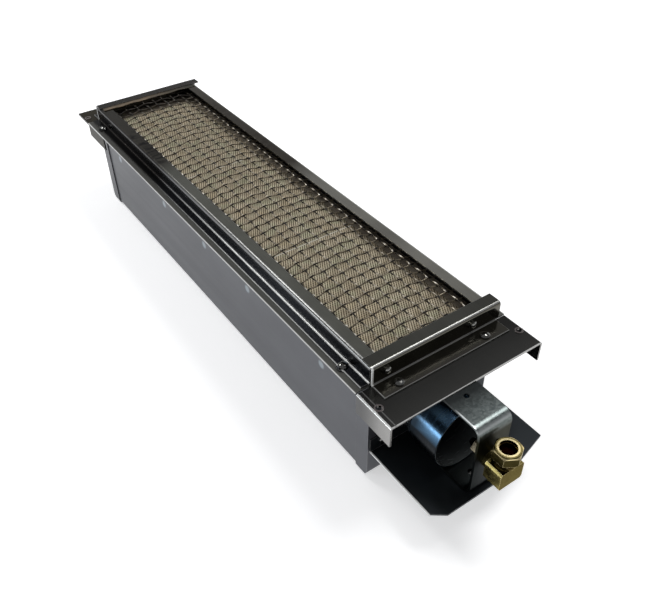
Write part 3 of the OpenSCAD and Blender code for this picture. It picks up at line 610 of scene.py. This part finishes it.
brass.bump(age, 0.15, 0.0003)
dress(brass, "elbow_body", "inlet_nut", "ferrule", "lock_nut", "orifice_spud")

# %% Fasteners
fastener = Finish("fastener", (0.22, 0.22, 0.21), 1.0, 0.10)
rub = fastener.noise(900, 3)
rubbed = fastener.band(rub, 0.35, 0.7)
fastener.link(fastener.mix(rubbed, (0.13, 0.13, 0.12), (0.30, 0.30, 0.29)), "Base Color")
fastener.link(fastener.band(rub, 0.3, 0.7, 0.07, 0.14), "Roughness")
dress(fastener, "saddle_rivets", "shelf_screws", "shelf_nuts", "bracket_rivets", "rail_screws",
      "rail_nuts", "front_clamp_screws", "rear_clamp_screws", "clamp_nuts", "clamp_rivets")

# %% [markdown]
# ## Wire of the screen
# Both sets of wires are burnt steel with scale. Where a wire dives under another it is painted
# dark, a painted shade, and where it rises again it gets a painted highlight, brightest over
# the gaps beside the tiles. A cosine or sine of the distance along the wire, once round for
# each pitch, puts those marks at every crossing. Both sets are darker near the far end.

# %% Screen wire
pitch = 0.0111
screen_low, screen_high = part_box("wire_screen")
middle_y = (screen_low.y + screen_high.y) / 2


def wave(finish, axis, place, shape):
    """Cosine or sine of the distance past a place, once round for each pitch of the screen."""
    gap = finish.math("SUBTRACT", finish.axes()[axis], place)
    return finish.math(shape, finish.math("MULTIPLY", gap, 2 * pi / pitch))


def wire_finish(name, dark, light):
    """Burnt wire with scale, darker at the far end of the burner. Gives the finish, its tone
    and its y."""
    finish = Finish(name, dark, 0.5, 0.3)
    y = finish.axes()[1]
    scale = finish.noise(330, 3)
    tone = finish.mix(finish.band(scale, 0.35, 0.65), dark, light)
    tone = finish.mix(finish.band(y, 0.235, 0.262), tone, (0.020, 0.016, 0.012))
    finish.link(finish.band(scale, 0.3, 0.7, 0.26, 0.42), "Roughness")
    return finish, tone, y


cross_steel, tone, y = wire_finish("cross_wire_steel", (0.085, 0.068, 0.045), (0.26, 0.22, 0.155))
# painted shade: a cross wire is painted dark at every crossing
crossing = cross_steel.band(wave(cross_steel, 0, 0.0, "COSINE"), -0.1, 0.5)
cross_steel.link(cross_steel.mix(crossing, tone, (0.008, 0.005, 0.003)), "Base Color")

long_steel, tone, y = wire_finish("long_wire_steel", (0.12, 0.10, 0.07), (0.27, 0.235, 0.175))
# painted shade just before each crossing and a painted highlight just past it, brightest over the
# gaps beside the tiles
past = wave(long_steel, 1, middle_y, "SINE")
tone = long_steel.mix(long_steel.band(past, -0.1, -0.8), tone, (0.014, 0.010, 0.006))
glint = long_steel.all_of(long_steel.band(past, 0.55, 0.95),
                          long_steel.band(y, 0.22, 0.26, 1.0, 0.25))
tone = long_steel.mix(glint, tone, (0.44, 0.39, 0.31))
off_middle = long_steel.math("ABSOLUTE", long_steel.axes()[0])
bright = long_steel.all_of(glint, long_steel.band(off_middle, 0.040, 0.046),
                           long_steel.band(y, 0.20, 0.26, 1.0, 0.1))
tone = long_steel.mix(bright, tone, (0.95, 0.90, 0.80))
long_steel.link(tone, "Base Color")

# %% [markdown]
# ## Surfaces from numbers
# The new pieces are grids: a function of two parameters gives a point for each row and
# column, and neighbours become four-sided faces. Whole arrays go into the mesh at once,
# which is quick even for a hundred thousand points.

# %% Grid helper
def grid_faces(rows, columns, wrap_columns=False):
    """Corner numbers of the faces of a grid; wrapping joins the last column to the first."""
    r = np.arange(rows - 1)[:, None]
    c = np.arange(columns if wrap_columns else columns - 1)[None, :]
    r2, c2 = r + 1, (c + 1) % columns
    corners = (r * columns + c, r * columns + c2, r2 * columns + c2, r2 * columns + c)
    return np.stack([np.broadcast_to(k, (len(r), c.size)) for k in corners], -1).reshape(-1, 4)


def make_piece(name, points, faces, finish, body, stands_for=()):
    """Puts points and four-sided faces into a smooth-shaded object that rides on a body."""
    mesh = bpy.data.meshes.new(name)
    mesh.vertices.add(len(points))
    mesh.vertices.foreach_set("co", np.asarray(points, np.float32).ravel())
    mesh.loops.add(4 * len(faces))
    mesh.loops.foreach_set("vertex_index", np.asarray(faces, np.int32).ravel())
    mesh.polygons.add(len(faces))
    mesh.polygons.foreach_set("loop_start", np.arange(0, 4 * len(faces), 4, dtype=np.int32))
    mesh.update(calc_edges=True)
    mesh.validate()
    mesh.shade_smooth()
    piece = bpy.data.objects.new(name, mesh)
    mesh.materials.append(finish.material)
    scene.collection.objects.link(piece)
    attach(piece, body)
    if stands_for:
        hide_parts(*stands_for)
    print(name, len(points), "points,", len(faces), "faces")


# %% [markdown]
# ## Woven screen
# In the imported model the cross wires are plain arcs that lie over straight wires. In the real
# screen each wire passes over and under its neighbours. Both sets follow the same bowed sheet,
# and a cosine lifts one and lowers the other by half a wire, so they touch at each crossing
# and never pass through each other.

# %% Screen wires
wire_r = 0.00065
half_width = screen_high.x
crest = screen_high.z - wire_r
rise = 0.006
arc_r = (half_width**2 + rise**2) / (2 * rise)
end_gap = 0.0002
sides = 8


def sheet_height(x):
    """Height of the bowed sheet between the wire sets: a circle arc with its crest at x = 0."""
    return crest - 1.03 * wire_r - arc_r + np.sqrt(arc_r**2 - x**2)


def tubes(paths, side, radius):
    """Round wires. Each path is a row of points, side is the direction that never turns, and
    the ring at each point is radius times cosine along the side and sine along the normal."""
    ahead = np.gradient(paths, axis=1)
    ahead /= np.linalg.norm(ahead, axis=2, keepdims=True)
    side = np.broadcast_to(np.asarray(side, float), paths.shape)
    normal = np.cross(side, ahead)
    turn = np.linspace(0, 2 * pi, sides, endpoint=False)[None, None, :, None]
    ring = np.cos(turn) * side[:, :, None] + np.sin(turn) * normal[:, :, None]
    points = paths[:, :, None] + radius * ring
    count, steps = paths.shape[:2]
    one = grid_faces(steps, sides, wrap_columns=True)[:, ::-1]
    faces = (one[None] + (np.arange(count) * steps * sides)[:, None, None]).reshape(-1, 4)
    return points.reshape(-1, 3), faces


def close_ends(points, faces, steps):
    """Adds three four-sided faces at each end of each wire, so that no wire is open."""
    count = len(points) // (steps * sides)
    start = np.arange(count)[:, None] * steps * sides
    fan = np.array([[0, 1, 2, 3], [0, 3, 4, 7], [4, 5, 6, 7]])
    first = (start[:, :, None] + fan[None]).reshape(-1, 4)
    last = (start[:, :, None] + (steps - 1) * sides + fan[None, :, ::-1]).reshape(-1, 4)
    return np.concatenate([faces, first, last])


cross_rank = np.arange(-23, 24)
long_rank = np.arange(-5, 6)
lift = 1.02 * wire_r

# wires across the burner: x runs, and the cosine changes sign from wire to wire
cross_steps = 89
x = np.linspace(-half_width + end_gap, half_width - end_gap, cross_steps)
x_all, y_all = np.broadcast_arrays(x[None, :], (middle_y + pitch * cross_rank)[:, None])
parity = (-1.0) ** cross_rank[:, None]
woven = sheet_height(x_all) + lift * parity * np.cos(pi * x_all / pitch)
points, faces = tubes(np.stack([x_all, y_all, woven], -1), (0, 1, 0), wire_r)
faces = close_ends(points, faces, cross_steps)
make_piece("screen_cross_wires", points, faces, cross_steel, "burner", ("wire_screen",))

# wires along the burner: y runs, with the opposite lift at every crossing
long_steps = 330
y = np.linspace(screen_low.y + end_gap, screen_high.y - end_gap, long_steps)
y_all, x_all = np.broadcast_arrays(y[None, :], (pitch * long_rank)[:, None])
parity = (-1.0) ** long_rank[:, None]
woven = sheet_height(x_all) - lift * parity * np.cos(pi * (y_all - middle_y) / pitch)
points, faces = tubes(np.stack([x_all, y_all, woven], -1), (-1, 0, 0), wire_r)
faces = close_ends(points, faces, long_steps)
make_piece("screen_long_wires", points, faces, long_steel, "burner", ("wire_screen",))

# %% [markdown]
# ## Tinted strip at the far end of the screen
# A thin strip holds the far end of the screen down. It lies on the rails, against the edge of
# the rear clamp, and heat has warped it a little and tinted it brown. Two sines wave its free
# edge. Another one only lifts it, so it never sinks into the rails.

# %% Screen end strip
clamp_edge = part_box("rear_clamp")[0].y
rail_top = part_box("left_rail")[1].z
strip_half = 0.0570
strip_depth = 0.0066
strip_t = 0.0006
rows, columns = 9, 97

x, across = np.meshgrid(np.linspace(-strip_half, strip_half, columns), np.linspace(0.0, 1.0, rows))
depth = strip_depth + 0.00035 * np.sin(x * 310.0) + 0.00025 * np.sin(x * 137.0 + 1.0)
warp = 0.00018 * (1 + np.sin(x * 210.0)) * (1 - across)
lower = np.stack([x, clamp_edge - depth * (1 - across), rail_top + warp], -1)
upper = lower + (0.0, 0.0, strip_t)
points = np.concatenate([lower.reshape(-1, 3), upper.reshape(-1, 3)])

# the two sheets are joined by walls that follow the outline once round
count = rows * columns
last_row = (rows - 1) * columns
outline = np.concatenate([
    np.arange(columns - 1), columns - 1 + columns * np.arange(rows - 1),
    last_row + np.arange(columns - 1, 0, -1), columns * np.arange(rows - 1, 0, -1)])
after = np.roll(outline, -1)
walls = np.stack([outline, after, after + count, outline + count], -1)
flat = grid_faces(rows, columns)
faces = np.concatenate([flat[:, ::-1], flat + count, walls])

tinted = Finish("tinted_steel", (0.12, 0.09, 0.06), 0.5, 0.4)
bloom = tinted.noise(70, 4)
tone = tinted.mix(tinted.band(bloom, 0.35, 0.65), (0.055, 0.042, 0.030), (0.19, 0.145, 0.095))
tone = tinted.mix(tinted.band(tinted.axes()[0], -0.01, 0.05), tone, (0.030, 0.028, 0.018))
tinted.link(tone, "Base Color")
tinted.link(tinted.band(bloom, 0.3, 0.7, 0.3, 0.5), "Roughness")
make_piece("screen_end_strip", points, faces, tinted, "burner")

# %% [markdown]
# ## Floor, world and lamps
# The floor is pale and plain. Seen by the camera or in a reflection it glows a little, so
# that it comes out white, while its shadow stays. The world is a bright band at the horizon
# and darker overhead, as in a studio tent with a dark ceiling, which keeps the top plates
# dark. Three soft area lamps give the long highlights.

# %% Floor
floor_mesh = bpy.data.meshes.new("floor")
floor_mesh.from_pydata([(-6, -6, 0), (6, -6, 0), (6, 6, 0), (-6, 6, 0)], [], [(0, 1, 2, 3)])
floor = bpy.data.objects.new("floor", floor_mesh)
scene.collection.objects.link(floor)
paper = Finish("floor_paper", (0.88, 0.88, 0.88), 0.0, 0.9)
ray = paper.add("LightPath").outputs
seen = paper.any_of(ray["Is Camera Ray"], ray["Is Glossy Ray"], ray["Is Transmission Ray"])
paper.set("Emission Color", (1, 1, 1, 1))
paper.link(paper.all_of(seen, 0.5), "Emission Strength")
floor_mesh.materials.append(paper.material)

# %% World
world = bpy.data.worlds.new("studio")
scene.world = world
world.use_nodes = True
sky = world.node_tree
background = sky.nodes["Background"]
direction = sky.nodes.new("ShaderNodeTexCoord")
split = sky.nodes.new("ShaderNodeSeparateXYZ")
ramp = sky.nodes.new("ShaderNodeValToRGB")
sky.links.new(direction.outputs["Generated"], split.inputs[0])
sky.links.new(split.outputs["Z"], ramp.inputs["Fac"])
sky.links.new(ramp.outputs["Color"], background.inputs["Color"])
ramp.color_ramp.elements[0].position = 0.02
ramp.color_ramp.elements[0].color = (1, 1, 1, 1)
ramp.color_ramp.elements[1].position = 0.42
ramp.color_ramp.elements[1].color = (0.24, 0.24, 0.25, 1)
background.inputs["Strength"].default_value = 1.0

# %% Lamps
def soft_box(name, place, target, width, height, power, color=(1, 1, 1)):
    """A flat area lamp at place that looks at target."""
    lamp = bpy.data.lights.new(name, "AREA")
    lamp.shape = "RECTANGLE"
    lamp.size = width
    lamp.size_y = height
    lamp.energy = power
    lamp.color = color
    thing = bpy.data.objects.new(name, lamp)
    scene.collection.objects.link(thing)
    thing.location = place
    thing.rotation_euler = (Vector(target) - Vector(place)).to_track_quat("-Z", "Y").to_euler()


soft_box("window", (-1.5, 0.75, 0.30), (0, -0.1, 0.07), 0.8, 0.55, 12, (0.88, 0.94, 1.0))
soft_box("front_top", (0.85, -0.2, 1.85), (0, 0, 0.05), 0.8, 0.8, 17)
soft_box("back_top", (-0.45, 1.25, 1.6), (0, 0, 0.05), 0.7, 0.5, 10)
